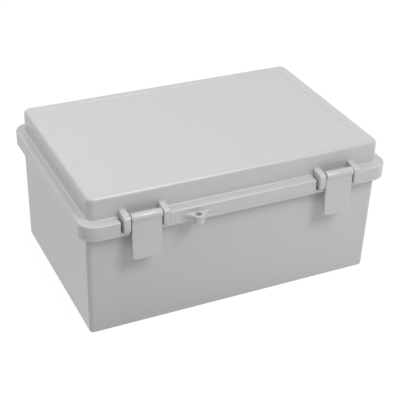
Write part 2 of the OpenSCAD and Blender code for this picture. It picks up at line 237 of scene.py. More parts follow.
def make_loft_tree():
    """A grid wrapped round four corners.

    Each corner takes steps + 3 columns: the arc, and one column on the straight at each side of it,
    a support's width away, which keeps the flat flat. The last column closes the loop.
    """
    tree, given, result = new_tree(
        "corner_loft", "GeometryNodeTree",
        [("Profile", "NodeSocketGeometry", None),
         ("Corner steps", "NodeSocketInt", CORNER_STEPS),
         ("Support", "NodeSocketFloat", SUPPORT),
         ("Material", "NodeSocketMaterial", None)],
        [("Mesh", "NodeSocketGeometry")])
    profile, steps, support = given["Profile"], given["Corner steps"], given["Support"]
    rows = put(tree, "GeometryNodeAttributeDomainSize", profile)
    per_corner = calc(tree, "ADD", steps, 3.0)
    columns = calc(tree, "MULTIPLY_ADD", per_corner, 4.0, 1.0)
    grid = put(tree, "GeometryNodeMeshGrid", 1.0, 1.0, columns, rows)
    place = tree.nodes.new("ShaderNodeSeparateXYZ")
    tree.links.new(put(tree, "GeometryNodeInputPosition"), place.inputs[0])

    def index(part, count):
        last = calc(tree, "SUBTRACT", count, 1.0)
        return calc(tree, "ROUND", calc(tree, "MULTIPLY", calc(tree, "ADD", part, 0.5), last))

    column = index(place.outputs["X"], columns)
    line = index(place.outputs["Y"], rows)
    corner = calc(tree, "FLOOR", calc(tree, "DIVIDE", calc(tree, "ADD", column, 0.5), per_corner))
    first = calc(tree, "MULTIPLY", corner, per_corner)
    step = calc(tree, "SUBTRACT", calc(tree, "SUBTRACT", column, first), 1.0)
    held = calc(tree, "MINIMUM", calc(tree, "MAXIMUM", step, 0.0), steps)
    quarters = calc(tree, "ADD", corner, calc(tree, "DIVIDE", held, steps))
    turn = calc(tree, "MULTIPLY", quarters, math.pi / 2)
    facing = calc(tree, "MULTIPLY_ADD", corner, math.pi / 2, math.pi / 4)

    centre = put(tree, "GeometryNodeSampleIndex", profile, put(tree, "GeometryNodeInputPosition"),
                 line, data_type="FLOAT_VECTOR")
    named = put(tree, "GeometryNodeInputNamedAttribute", "corner_radius", data_type="FLOAT")
    radius = put(tree, "GeometryNodeSampleIndex", profile, named, line, data_type="FLOAT")
    middle = tree.nodes.new("ShaderNodeSeparateXYZ")
    tree.links.new(centre, middle.inputs[0])
    beyond = calc(tree, "SUBTRACT", step, held)
    run = calc(tree, "MULTIPLY", beyond, calc(tree, "MINIMUM", support, radius))

    def along(axis, round_with, straight_with, straight_sign):
        side = calc(tree, "SIGN", calc(tree, round_with, facing))
        at = calc(tree, "MULTIPLY_ADD", radius, calc(tree, round_with, turn),
                  calc(tree, "MULTIPLY", middle.outputs[axis], side))
        slide = calc(tree, "MULTIPLY", run, calc(tree, straight_with, turn))
        return calc(tree, "MULTIPLY_ADD", slide, straight_sign, at)

    spot = put(tree, "ShaderNodeCombineXYZ", along("X", "COSINE", "SINE", -1.0),
               along("Y", "SINE", "COSINE", 1.0), middle.outputs["Z"])
    bent = put(tree, "GeometryNodeSetPosition", grid, True, spot)
    closed = put(tree, "GeometryNodeMergeByDistance", bent, True, JOIN)
    real = put(tree, "GeometryNodeRealizeInstances", closed)
    dressed = put(tree, "GeometryNodeSetMaterial", real, True, given["Material"])
    tree.links.new(dressed, result["Mesh"])
    return tree


loft_tree = make_loft_tree()
print("loft tree:", len(loft_tree.nodes), "nodes")


# %% [markdown]
# ## Mesh helpers
# A modifier's result is turned into a plain mesh at once, so that each piece ends as one closed
# mesh with its place in its vertices. Edges sharper than SHARP stay crisp, and the rest is smooth.
# Where a turned loop starts or ends on the axis, points closer than POLE become one.

# %% Mesh helpers
SHARP = math.radians(32)
EDGE_STEPS = 3
ROD_STEPS = 40
TURN_STEPS = 36
POLE = 1e-7


def new_object(name, mesh):
    obj = bpy.data.objects.new(name, mesh)
    bpy.context.scene.collection.objects.link(obj)
    return obj


def settle(obj):
    """Turns what the modifiers make into a plain mesh and takes the modifiers off."""
    graph = bpy.context.evaluated_depsgraph_get()
    mesh = bpy.data.meshes.new_from_object(obj.evaluated_get(graph), depsgraph=graph)
    obj.modifiers.clear()
    obj.data = mesh
    return obj


def grow(obj, tree, **inputs):
    """Runs a node tree on the object, with its inputs set by name."""
    step = obj.modifiers.new("grow", "NODES")
    step.node_group = tree
    for item in tree.interface.items_tree:
        if item.name in inputs:
            step[item.identifier] = inputs[item.name]
    return settle(obj)


def shade(obj, material=None):
    """Points the faces outwards, marks the sharp edges and gives the piece its material."""
    work = bmesh.new()
    work.from_mesh(obj.data)
    if work.calc_volume(signed=True) < 0:
        bmesh.ops.reverse_faces(work, faces=work.faces)
    for edge in work.edges:
        edge.smooth = len(edge.link_faces) == 2 and edge.calc_face_angle(math.pi) < SHARP
    for face in work.faces:
        face.smooth = True
        face.material_index = 0
    work.to_mesh(obj.data)
    work.free()
    if material is not None:
        obj.data.materials.clear()
        obj.data.materials.append(material)
    return obj


def loft(name, rows):
    """A closed moulding whose section is the list of rows."""
    rows = supported(rows)
    points = bpy.data.meshes.new(name)
    points.from_pydata([(x - r, y - r, z) for x, y, r, z in rows], [], [])
    radius = points.attributes.new("corner_radius", "FLOAT", "POINT")
    radius.data.foreach_set("value", [r for x, y, r, z in rows])
    return shade(grow(new_object(name, points), loft_tree))


def prism(name, outline, axis, start, stop, edge=0.0):
    """An outline pushed from start to stop along X or Z, with its edges rounded."""
    work = bmesh.new()
    place = (lambda p, s: (s, *p)) if axis == "X" else (lambda p, s: (*p, s))
    ends = [[work.verts.new(place(p, s)) for p in outline] for s in (start, stop)]
    work.faces.new(ends[0])
    work.faces.new(ends[1])
    for i in range(len(outline)):
        j = (i + 1) % len(outline)
        work.faces.new((ends[0][i], ends[0][j], ends[1][j], ends[1][i]))
    bmesh.ops.recalc_face_normals(work, faces=work.faces)
    if edge:
        sharp = [e for e in work.edges if e.calc_face_angle() > SHARP]
        bmesh.ops.bevel(work, geom=sharp, offset=edge, segments=EDGE_STEPS, profile=0.5,
                        affect="EDGES", clamp_overlap=True)
    mesh = bpy.data.meshes.new(name)
    work.to_mesh(mesh)
    work.free()
    return shade(new_object(name, mesh))


def arc(centre, radius, start, stop, steps):
    """Points along an arc in a plane, from one angle in degrees to another."""
    angles = [math.radians(start + (stop - start) * i / steps) for i in range(steps + 1)]
    return [(centre[0] + radius * math.cos(a), centre[1] + radius * math.sin(a)) for a in angles]


def rod(name, centre, radius, length, axis="X", steps=ROD_STEPS, edge=0.0):
    """A round bar along X or Z, centred on a point."""
    circle = arc((0, 0), radius, 0, 360 - 360 / steps, steps - 1)
    if axis == "X":
        outline = [(centre[1] + a, centre[2] + b) for a, b in circle]
        return prism(name, outline, "X", centre[0] - length / 2, centre[0] + length / 2, edge)
    outline = [(centre[0] + a, centre[1] + b) for a, b in circle]
    return prism(name, outline, "Z", centre[2] - length / 2, centre[2] + length / 2, edge)


def block(name, low, high, edge=0.0):
    """A box between two corners."""
    outline = [(low[0], low[1]), (high[0], low[1]), (high[0], high[1]), (low[0], high[1])]
    return prism(name, outline, "Z", low[2], high[2], edge)


def turned(name, loop):
    """A closed ring or stud made by turning a loop of (radius, height) points about Z."""
    work = bmesh.new()
    rings = []
    for i in range(TURN_STEPS):
        angle = 2 * math.pi * i / TURN_STEPS
        cosine, sine = math.cos(angle), math.sin(angle)
        rings.append([work.verts.new((r * cosine, r * sine, z)) for r, z in loop])
    for i in range(TURN_STEPS):
        a, b = rings[i], rings[(i + 1) % TURN_STEPS]
        for j in range(len(loop)):
            k = (j + 1) % len(loop)
            if loop[j][0] or loop[k][0]:
                work.faces.new((a[j], b[j], b[k], a[k]))
    bmesh.ops.remove_doubles(work, verts=work.verts, dist=POLE)
    bmesh.ops.dissolve_degenerate(work, edges=work.edges, dist=POLE)
    bmesh.ops.recalc_face_normals(work, faces=work.faces)
    mesh = bpy.data.meshes.new(name)
    work.to_mesh(mesh)
    work.free()
    return shade(new_object(name, mesh))


def combine(obj, tools, operation):
    """Adds or cuts a list of solids, then removes them."""
    for tool in tools:
        step = obj.modifiers.new("solid", "BOOLEAN")
        step.operation = operation
        step.solver = "EXACT"
        step.object = tool
    settle(obj)
    for tool in tools:
        bpy.data.objects.remove(tool)
    return shade(obj)


# %% [markdown]
# ## Shared surface effects
# The mouldings come out of a spark-eroded tool, so their skin has a fine even grain, a very slow
# drift in tone, and a gloss that varies a little. Every plastic piece uses the same effect with its
# own values, so it is a shader group. The metal pieces share a group for drawn and rolled streaks.
# The gloss may only vary a little: a larger swing ends up as specks in the denoised picture.

# %% Surface groups
SLOW_SCALE = 14.0
PATCH_SCALE = 120.0
GLOSS_SWING = 0.04
STREAK_SCALE = 60.0
EFFECT_OUTPUTS = [("Color", "NodeSocketColor"), ("Roughness", "NodeSocketFloat"),
                  ("Height", "NodeSocketFloat")]


def make_skin_group():
    tree, given, result = new_tree(
        "moulded_skin", "ShaderNodeTree",
        [("Color", "NodeSocketColor", (0.6, 0.6, 0.6, 1)), ("Drift", "NodeSocketFloat", 0.02),
         ("Grain", "NodeSocketFloat", 900.0), ("Roughness", "NodeSocketFloat", 0.4)],
        EFFECT_OUTPUTS)
    coords = tree.nodes.new("ShaderNodeTexCoord").outputs["Object"]
    slow = put(tree, "ShaderNodeTexNoise", coords, SLOW_SCALE, 3.0)
    fine = put(tree, "ShaderNodeTexNoise", coords, given["Grain"], 2.0)
    middle = put(tree, "ShaderNodeTexNoise", coords, PATCH_SCALE, 2.0)
    swing = calc(tree, "MULTIPLY", calc(tree, "SUBTRACT", slow, 0.5), given["Drift"])
    tone = calc(tree, "ADD", swing, 1.0)
    shaded = put(tree, "ShaderNodeVectorMath", given["Color"], tone, operation="MULTIPLY")
    tree.links.new(shaded, result["Color"])
    centred = calc(tree, "SUBTRACT", middle, 0.5)
    gloss = calc(tree, "MULTIPLY_ADD", centred, GLOSS_SWING, given["Roughness"])
    tree.links.new(gloss, result["Roughness"])
    tree.links.new(fine, result["Height"])
    return tree


def make_streak_group():
    tree, given, result = new_tree(
        "drawn_metal", "ShaderNodeTree",
        [("Color", "NodeSocketColor", (0.6, 0.6, 0.6, 1)),
         ("Stretch", "NodeSocketVector", (1, 1, 1)),
         ("Drift", "NodeSocketFloat", 0.1), ("Roughness", "NodeSocketFloat", 0.3)],
        EFFECT_OUTPUTS)
    coords = tree.nodes.new("ShaderNodeTexCoord").outputs["Object"]
    pulled = put(tree, "ShaderNodeVectorMath", coords, given["Stretch"], operation="MULTIPLY")
    streak = put(tree, "ShaderNodeTexNoise", pulled, STREAK_SCALE, 4.0)
    swing = calc(tree, "MULTIPLY", calc(tree, "SUBTRACT", streak, 0.5), given["Drift"])
    tone = calc(tree, "ADD", swing, 1.0)
    shaded = put(tree, "ShaderNodeVectorMath", given["Color"], tone, operation="MULTIPLY")
    tree.links.new(shaded, result["Color"])
    tree.links.new(calc(tree, "ADD", given["Roughness"], swing), result["Roughness"])
    tree.links.new(streak, result["Height"])
    return tree


skin_group = make_skin_group()
streak_group = make_streak_group()
print("effects:", skin_group.name, "and", streak_group.name)


# %% Materials
def finish_material(name, group, values, bump, depth, metallic=0.0, **sockets):
    """A Principled material that takes colour, roughness and relief from an effect group."""
    material = bpy.data.materials.new(name)
    material.use_nodes = True
    tree = material.node_tree
    shader = tree.nodes["Principled BSDF"]
    effect = tree.nodes.new("ShaderNodeGroup")
    effect.node_tree = group
    for label, value in values.items():
        effect.inputs[label].default_value = value
    relief = tree.nodes.new("ShaderNodeBump")
    relief.inputs["Strength"].default_value = bump
    relief.inputs["Distance"].default_value = depth
    tree.links.new(effect.outputs["Height"], relief.inputs["Height"])
    tree.links.new(relief.outputs["Normal"], shader.inputs["Normal"])
    tree.links.new(effect.outputs["Color"], shader.inputs["Base Color"])
    tree.links.new(effect.outputs["Roughness"], shader.inputs["Roughness"])
    shader.inputs["Metallic"].default_value = metallic
    for label, value in sockets.items():
        shader.inputs[label.replace("_", " ")].default_value = value
    return material


GREY = (0.605, 0.607, 0.602, 1)
POLYCARBONATE_IOR = 1.58
PLASTIC_RELIEF = 0.03 * MM
FOAM_RELIEF = 0.2 * MM
METAL_RELIEF = 0.02 * MM

shell_plastic = finish_material(
    "shell_plastic", skin_group,
    {"Color": GREY, "Drift": 0.03, "Grain": 1400.0, "Roughness": 0.25},
    0.05, PLASTIC_RELIEF, IOR=POLYCARBONATE_IOR)
latch_plastic = finish_material(
    "latch_plastic", skin_group,
    {"Color": GREY, "Drift": 0.02, "Grain": 1800.0, "Roughness": 0.24},
    0.04, PLASTIC_RELIEF, IOR=POLYCARBONATE_IOR)
seal_foam = finish_material(
    "seal_foam", skin_group,
    {"Color": (0.035, 0.036, 0.04, 1), "Drift": 0.25, "Grain": 900.0, "Roughness": 0.85},
    0.6, FOAM_RELIEF)
stainless = finish_material(
    "stainless", streak_group,
    {"Color": (0.58, 0.58, 0.59, 1), "Stretch": (1, 30, 30), "Roughness": 0.28},
    0.2, METAL_RELIEF, metallic=1.0)
zinc_plate = finish_material(
    "zinc_plate", streak_group,
    {"Color": (0.62, 0.63, 0.65, 1), "Stretch": (1, 8, 8), "Drift": 0.18, "Roughness": 0.38},
    0.15, METAL_RELIEF, metallic=1.0)
brass = finish_material(
    "brass", streak_group,
    {"Color": (0.70, 0.47, 0.19, 1), "Stretch": (4, 4, 1), "Roughness": 0.3},
    0.2, METAL_RELIEF, metallic=1.0)
print("materials:", len(bpy.data.materials))


def place_piece(obj, body, slot, *nodes):
    """Hands a finished piece to its body and hides the CAD nodes it stands for. The slot is not
    used.
    """
    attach(obj, body)
    if nodes:
        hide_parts(*nodes)
    return obj


# %% [markdown]
# ## The lid
# The section runs from the middle of the top, over the shallow recess, the rounded crown edge, the
# raised wall, its foot, the ledge and the skirt, then back through the seal groove to the inside.
# The next cell cuts the notches for the latches and adds the ears and the hinge knuckles.

# %% Lid section
CROWN_EDGE = 3 * MM
CROWN_FOOT = 1.2 * MM
RIM_EDGE = 1.0 * MM
PART_EDGE = 0.12 * MM
INNER_EDGE = 1.5 * MM
RECESS = 0.5 * MM
RECESS_IN = (10.8 * MM, 9.3 * MM)
RECESS_R = 8 * MM
RECESS_RAMP = 0.45 * MM
RECESS_EDGE = 0.2 * MM
RECESS_SLOPE_DEG = 165
GROOVE_LIP = 1.5 * MM

crown_lean = (TOP_Z - LEDGE_Z) * DRAFT
recess_edge = (CROWN[0] - RECESS_IN[0], CROWN[1] - RECESS_IN[1], RECESS_R)
channel_in = inset(GROOVE, -GROOVE_WALL)
opening = inset(GROOVE_IN, GROOVE_WALL)
ceiling_z = LEDGE_Z - LEDGE_T
ledge_middle = LEDGE_Z - LEDGE_T / 2
groove_lip_z = SKIRT_Z + GROOVE_LIP
inner_top = TOP_Z - RECESS - WALL

lid_rows = [(0, 0, 0, TOP_Z - RECESS), row(recess_edge, RECESS_RAMP, TOP_Z - RECESS)]
lid_rows += bend(recess_edge, -RECESS_EDGE, TOP_Z - RECESS_EDGE, RECESS_EDGE, RECESS_SLOPE_DEG, 90)
lid_rows += bend(CROWN, crown_lean + CROWN_EDGE, TOP_Z - CROWN_EDGE, CROWN_EDGE, 90, DRAFT_DEG)
lid_rows += bend(CROWN, -CROWN_FOOT, LEDGE_Z + CROWN_FOOT, CROWN_FOOT, 180, 270)
lid_rows += bend(RIM, RIM_EDGE, LEDGE_Z - RIM_EDGE, RIM_EDGE, 90, 0)
lid_rows += bend(RIM, PART_EDGE, SKIRT_Z + PART_EDGE, PART_EDGE, 0, -90)
lid_rows += [row(RIM, SKIRT_T, SKIRT_Z), row(RIM, SKIRT_T, ceiling_z),
             row(channel_in, 0, ceiling_z), row(channel_in, 0, SKIRT_Z),
             row(GROOVE, 0, SKIRT_Z), row(GROOVE, 0, ceiling_z),
             row(GROOVE_IN, 0, ceiling_z), row(GROOVE_IN, 0, groove_lip_z),
             row(opening, 0, groove_lip_z), row(opening, 0, ledge_middle),
             row(CROWN, LID_WALL, ledge_middle)]
lid_rows += bend(CROWN, LID_WALL + crown_lean + INNER_EDGE, inner_top - INNER_EDGE, INNER_EDGE,
                 0, 90)
lid_rows += [(0, 0, 0, inner_top)]

lid = loft("lid", lid_rows)
print("lid section:", len(lid_rows), "rows,", len(lid.data.polygons), "faces")

# %% [markdown]
# ## Latch ears and hinge knuckles
# An ear is a plate seen from the end: its top falls a little to the front, and its front corners
# are round. A knuckle is a round eye on a foot. Both are outlines pushed along the box, with their
# edges rounded, which is how such ribs are drawn for a mould.

# %% Ears, knuckles and notches
BARREL_R = paddle_high.z - LATCH.z
BARREL_L = paddle_high.x - paddle_low.x
EAR_GAP = 0.9 * MM
EAR_IN = BARREL_L / 2 + EAR_GAP
EAR_W = 5.6 * MM
EAR_OUT = EAR_IN + EAR_W
EAR_UP = 4.9 * MM
EAR_DOWN = 8.3 * MM
EAR_FALL = 1.5 * MM
EAR_TOP_R = 2.6 * MM
EAR_FOOT_R = 1.2 * MM
EAR_EDGE = 0.5 * MM
EAR_CAP = 1.2 * MM
NOTCH_GAP = 1.6 * MM
NOTCH_TOP = LEDGE_Z + 0.9 * MM
NOTCH_Y = -(GROOVE[1] + GROOVE_WALL)
PIN_R = 1.5 * MM
PIN_GAP = 0.05 * MM
EAR_FRONT = lid_low.y
LATCHES = (-LATCH.x, LATCH.x)
SIDES = (-1, 1)

KNUCKLE_R = base_high.y - HINGE.y
KNUCKLE_L = 14 * MM
KNUCKLE_STEP = 14.4 * MM
KNUCKLE_ROOT = 0.8 * MM
KNUCKLE_EDGE = 0.4 * MM
KNUCKLE_FOOT_EDGE = 0.3 * MM
HINGE_X = 88 * MM
HINGES = (-HINGE_X, HINGE_X)


def ear_outline():
    """Seen from the end: foot, front, round front corner, falling top, root in the wall."""
    front_top = LEDGE_Z + EAR_UP
    foot = LEDGE_Z - EAR_DOWN
    back = -(CROWN[1] - LID_WALL / 2)
    low_back = NOTCH_Y + GROOVE_WALL / 2
    points = arc((EAR_FRONT + EAR_FOOT_R, foot + EAR_FOOT_R), EAR_FOOT_R, 270, 180, 5)
    points += arc((EAR_FRONT + EAR_TOP_R, front_top - EAR_TOP_R), EAR_TOP_R, 180, 96, 8)
    points += [(back, front_top + EAR_FALL), (back, ledge_middle), (low_back, ledge_middle),
               (low_back, foot)]
    return points


def knuckle(x, foot_low, foot_high):
    """Round eye with a foot that reaches into the rim."""
    eye = rod("eye", (x, HINGE.y, HINGE.z), KNUCKLE_R, KNUCKLE_L, edge=KNUCKLE_EDGE)
    foot = block("foot", (x - KNUCKLE_L / 2, RIM[1] - KNUCKLE_ROOT, foot_low),
                 (x + KNUCKLE_L / 2, HINGE.y, foot_high), KNUCKLE_FOOT_EDGE)
    return [eye, foot]


notches = [block("notch", (x - EAR_OUT - NOTCH_GAP, -RIM[1] - 5 * OVER, SKIRT_Z - 5 * OVER),
                 (x + EAR_OUT + NOTCH_GAP, NOTCH_Y, NOTCH_TOP)) for x in LATCHES]
combine(lid, notches, "DIFFERENCE")

middles = [x + s * (EAR_IN + EAR_W / 2) for x in LATCHES for s in SIDES]
ears = [prism("ear", ear_outline(), "X", m - EAR_W / 2, m + EAR_W / 2, EAR_EDGE) for m in middles]
eyes = [piece for x in HINGES for piece in knuckle(x, SKIRT_Z, HINGE.z + KNUCKLE_R)]
combine(lid, ears + eyes, "UNION")
bores = [rod("bore", (x, LATCH.y, LATCH.z), PIN_R, 2 * (EAR_OUT - EAR_CAP)) for x in LATCHES]
bores += [rod("bore", (x, HINGE.y, HINGE.z), PIN_R + PIN_GAP, 2 * KNUCKLE_L) for x in HINGES]
combine(lid, bores, "DIFFERENCE")
shade(lid, shell_plastic)
place_piece(lid, "lid", "polycarbonate", "lid_cover")
print("lid:", len(lid.data.polygons), "faces")

# %% [markdown]
# ## The base
# The tub leans out by its draft, ends in a sealing tongue, and carries the lip that makes the lower
# part of the rim. The lip has a pocket behind each paddle for its hook. Bosses rise from the floor
# for the mounting panel and for the inserts of the underside.

# %% Base
FOOT_EDGE = 2 * MM
LIP_EDGE = 0.5 * MM
FLOOR_EDGE = 1.25 * MM
LIP_FILLET = 0.8 * MM
TONGUE_T = 2.4 * MM
TONGUE_EDGE = 0.5 * MM

wall_under_lip = LIP_Z * DRAFT
floor_outline = (*inset(WALL_FOOT, WALL)[:2], 2 * FLOOR_EDGE)
base_rows = [(0, 0, 0, 0.0)]
base_rows += bend(WALL_FOOT, FOOT_EDGE, FOOT_EDGE, FOOT_EDGE, -90, 0)
base_rows += bend(WALL_FOOT, -wall_under_lip - LIP_FILLET, LIP_Z - LIP_FILLET, LIP_FILLET, 180, 90)
base_rows += bend(RIM, LIP_EDGE, LIP_Z + LIP_EDGE, LIP_EDGE, -90, 0)
base_rows += bend(RIM, PART_EDGE, LIP_FACE - PART_EDGE, PART_EDGE, 0, 90)
base_rows += [row(TONGUE, 0, LIP_FACE)]
base_rows += bend(TONGUE, TONGUE_EDGE, TONGUE_TOP - TONGUE_EDGE, TONGUE_EDGE, 0, 90)
base_rows += [row(TONGUE, TONGUE_T, TONGUE_TOP), row(TONGUE, TONGUE_T, LIP_TOP)]
base_rows += bend(floor_outline, FLOOR_EDGE, WALL + FLOOR_EDGE, FLOOR_EDGE, 0, -90)
base_rows += [(0, 0, 0, WALL)]
base = loft("base", base_rows)

HOOK_REACH = 2.2 * MM
HOOK_GAP = 0.5 * MM
POCKET_HALF = 13.2 * MM
screw_low, screw_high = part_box("panel_inserts")
foot_low, foot_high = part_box("foot_inserts")
INSERT_R = 3 * MM
PANEL_AT = (screw_high.x - INSERT_R, screw_high.y - INSERT_R)
FOOT_AT = (foot_high.x - INSERT_R, foot_high.y - INSERT_R)
BOSS_R = 5 * MM
BOSS_EDGE = 0.4 * MM
BOSS_CAP = 4 * MM


def at_corners(half, make):
    """What a maker makes at the four corners of a rectangle."""
    return [make(sx * half[0], sy * half[1]) for sx in SIDES for sy in SIDES]


def boss(top):
    """Makes a boss from inside the floor up to a height, at a place."""
    return lambda x, y: rod("boss", (x, y, (WALL / 2 + top) / 2), BOSS_R, top - WALL / 2, "Z",
                            edge=BOSS_EDGE)


def socket(low, high):
    """Makes the cutter for an insert's hole, at a place."""
    return lambda x, y: rod("socket", (x, y, (low + high) / 2), INSERT_R, high - low, "Z")


pockets = [block("pocket", (x - POCKET_HALF, -RIM[1] - OVER, LIP_Z - 2 * OVER),
                 (x + POCKET_HALF, -RIM[1] + HOOK_REACH + HOOK_GAP, LIP_TOP + OVER))
           for x in LATCHES]
combine(base, pockets, "DIFFERENCE")
knuckles = [piece for x in HINGES for s in SIDES
            for piece in knuckle(x + s * KNUCKLE_STEP, HINGE.z - KNUCKLE_R, LIP_TOP)]
bosses = at_corners(PANEL_AT, boss(screw_high.z))
bosses += at_corners(FOOT_AT, boss(foot_high.z + BOSS_CAP))
combine(base, knuckles + bosses, "UNION")
sockets = at_corners(PANEL_AT, socket(screw_low.z, screw_high.z + OVER))
sockets += at_corners(FOOT_AT, socket(-OVER, foot_high.z))
sockets += [rod("bore", (x, HINGE.y, HINGE.z), PIN_R, 4 * KNUCKLE_L) for x in HINGES]
combine(base, sockets, "DIFFERENCE")
shade(base, shell_plastic)
place_piece(base, "base", "polycarbonate", "base_box")
print("base:", len(base.data.polygons), "faces")

# %% [markdown]
# ## The seal
# Foam is poured into the groove, so its free face is a low round bead and not a flat strip.

# %% Seal
BEAD = 1.4 * MM
seal_rows = [row(GROOVE, 0, seal_high.z)]
seal_rows += bend(GROOVE, BEAD, seal_low.z + BEAD, BEAD, 0, -90)
seal_in = GROOVE[0] - GROOVE_IN[0]
seal_rows += bend(GROOVE, seal_in - BEAD, seal_low.z + BEAD, BEAD, 270, 180)
seal_rows += [row(GROOVE_IN, 0, seal_high.z), row(GROOVE, 0, seal_high.z)]
seal = loft("seal", seal_rows)
shade(seal, seal_foam)
place_piece(seal, "lid", "seal", "lid_gasket")
print("seal:", len(seal.data.polygons), "faces")

# %% [markdown]
# ## The latch paddles
# A paddle is one moulding: a barrel that turns on the pin, a thin plate that leaves it and flares
# towards its foot, and a hook behind it. The plate is a grid whose edge follows the round foot
# corners, given a thickness and a rounded rim, because a bent plate has no flat face to extrude.
# MEND joins what the rounding leaves closer than 2 microns. The ribs stand RIB_IN inside the
# plate's sides, since faces in one plane would leave open edges when the solids are joined.

# %% Paddle
PADDLE_W = 25.4 * MM
PADDLE_T = 1.9 * MM
PADDLE_R = 3.5 * MM
RIB_T = 1.5 * MM
RIB_DEPTH = 2.6 * MM
RIB_IN = 0.15 * MM
RIB_TOP_GAP = 1 * MM
RIB_EDGE = 0.3 * MM
BARREL_STEPS = 56
BARREL_EDGE = 0.35 * MM
FRONT_IN = 1.4 * MM
FLARE = 1.7 * MM
PLATE_EDGE = 0.6 * MM
HOOK_EDGE = 0.6 * MM
MEND = 0.002 * MM
ACROSS = 8
FOOT_STEPS = 8
PLATE_STEPS = 16
PADDLE_FOOT = paddle_low.z
DROP = LATCH.z - PADDLE_FOOT


def paddle_front(z):
    """The plate's front face: straight under the barrel, flaring at the foot."""
    return LATCH.y - BARREL_R + FRONT_IN - FLARE * ((LATCH.z - z) / DROP) ** 2


def paddle_edge(z):
    """Half the plate's width at a height, which shrinks in the round foot corners."""
    up = z - PADDLE_FOOT
    if up >= PADDLE_R:
        return PADDLE_W / 2
    return PADDLE_W / 2 - PADDLE_R + math.sqrt(PADDLE_R ** 2 - (PADDLE_R - up) ** 2)


def rib_outline():
    """A rib behind one side of the plate, from its round foot corner to just under the lip."""
    low, full, high = PADDLE_FOOT + PADDLE_R, PADDLE_FOOT + 3 * PADDLE_R, LIP_Z - RIB_TOP_GAP
    root, deep = PADDLE_T / 2, PADDLE_T + RIB_DEPTH
    corners = [(low, root), (low, PADDLE_T), (full, deep), (high, deep), (high, root)]
    return [(paddle_front(z) + depth, z) for z, depth in corners]


def make_plate(x):
    """The bent plate: a front and a back grid, a band round them, and a rounded rim."""
    turns = [math.pi / 2 * i / FOOT_STEPS for i in range(FOOT_STEPS)]
    levels = [PADDLE_FOOT + PADDLE_R * (1 - math.cos(turn)) for turn in turns]
    levels += [PADDLE_FOOT + PADDLE_R + (DROP - PADDLE_R) * i / PLATE_STEPS
               for i in range(PLATE_STEPS + 1)]
    work = bmesh.new()
    layers = []
    for depth in (0, PADDLE_T):
        layers.append([[work.verts.new((x + paddle_edge(z) * (2 * i / ACROSS - 1),
                                        paddle_front(z) + depth, z))
                        for i in range(ACROSS + 1)] for z in levels])
    for grid in layers:
        for a, b in zip(grid, grid[1:]):
            for i in range(ACROSS):
                work.faces.new((a[i], a[i + 1], b[i + 1], b[i]))
    a, b = [g[0] + [r[-1] for r in g[1:]] + g[-1][-2::-1] + [r[0] for r in g[-2:0:-1]]
            for g in layers]
    for i in range(len(a)):
        j = (i + 1) % len(a)
        work.faces.new((a[i], a[j], b[j], b[i]))
    bmesh.ops.recalc_face_normals(work, faces=work.faces)
    rim = [e for e in work.edges if e.calc_face_angle() > math.radians(50)]
    bmesh.ops.bevel(work, geom=rim, offset=PLATE_EDGE, segments=4, profile=0.5, affect="EDGES",
                    clamp_overlap=True)
    bmesh.ops.remove_doubles(work, verts=work.verts, dist=MEND)
    bmesh.ops.dissolve_degenerate(work, edges=work.edges, dist=MEND)
    mesh = bpy.data.meshes.new("plate")
    work.to_mesh(mesh)
    work.free()
    return shade(new_object("plate", mesh))


def make_paddle(name, x):
    plate = make_plate(x)
    barrel = rod("barrel", (x, LATCH.y, LATCH.z), BARREL_R, BARREL_L, "X", BARREL_STEPS,
                 BARREL_EDGE)
    root = paddle_front(LIP_Z) + PADDLE_T / 2
    tip = LATCH.y + HOOK_REACH
    section = [(root, LIP_TOP), (tip - HOOK_EDGE, LIP_TOP), (tip, LIP_TOP - HOOK_EDGE),
               (tip, LIP_Z + LIP_H / 3), (root, LIP_Z - LIP_H)]
    hook = prism("hook", section, "X", x - PADDLE_W / 2 + HOOK_EDGE, x + PADDLE_W / 2 - HOOK_EDGE)
    middles = [x + s * (PADDLE_W / 2 - RIB_IN - RIB_T / 2) for s in SIDES]
    ribs = [prism("rib", rib_outline(), "X", m - RIB_T / 2, m + RIB_T / 2, RIB_EDGE)
            for m in middles]
    combine(plate, [barrel, hook] + ribs, "UNION")
    bore = rod("bore", (x, LATCH.y, LATCH.z), PIN_R + PIN_GAP, 2 * BARREL_L)
    combine(plate, [bore], "DIFFERENCE")
    plate.name = name
    return shade(plate, latch_plastic)


for side, x in zip(("left", "right"), LATCHES):
    paddle = make_paddle("paddle_" + side, x)
    place_piece(paddle, "latch_" + side, "polycarbonate", "latch_paddle_" + side)
print("paddles:", len(paddle.data.polygons), "faces each")

# %% [markdown]
# ## The padlock tabs
# One tab stands on the skirt and one on the lip, with a hole through both. Seen from above a tab is
# a round tip whose sides sweep out along the rim.

# %% Padlock tabs
tab_low, tab_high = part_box("lid_padlock_tab")
TAB_X = (tab_low.x + tab_high.x) / 2
TAB_W = tab_high.x - tab_low.x
TIP_R = 4.4 * MM
HOLE_R = 2.9 * MM
HOLE_BACK = 5.7 * MM
TAB_ROOT = 0.2 * MM
TAB_EDGE = 0.45 * MM


def tab_outline(root_y):
    """From the right root along the sweep, round the tip and back to the left root."""
    flare = TAB_W / 2 - TIP_R
    tip_y = tab_low.y + TIP_R
    flare_y = -RIM[1] - flare
    right = arc((TAB_X + TIP_R + flare, flare_y), flare, 90, 180, 10)
    left = arc((TAB_X - TIP_R - flare, flare_y), flare, 0, 90, 10)
    tip = arc((TAB_X, tip_y), TIP_R, 0, -180, 16)
    points = [(TAB_X + TAB_W / 2, root_y)] + right
    points = [p for p in points if p[1] > tip_y] + tip + [p for p in left if p[1] > tip_y]
    return points + [(TAB_X - TAB_W / 2, root_y)]


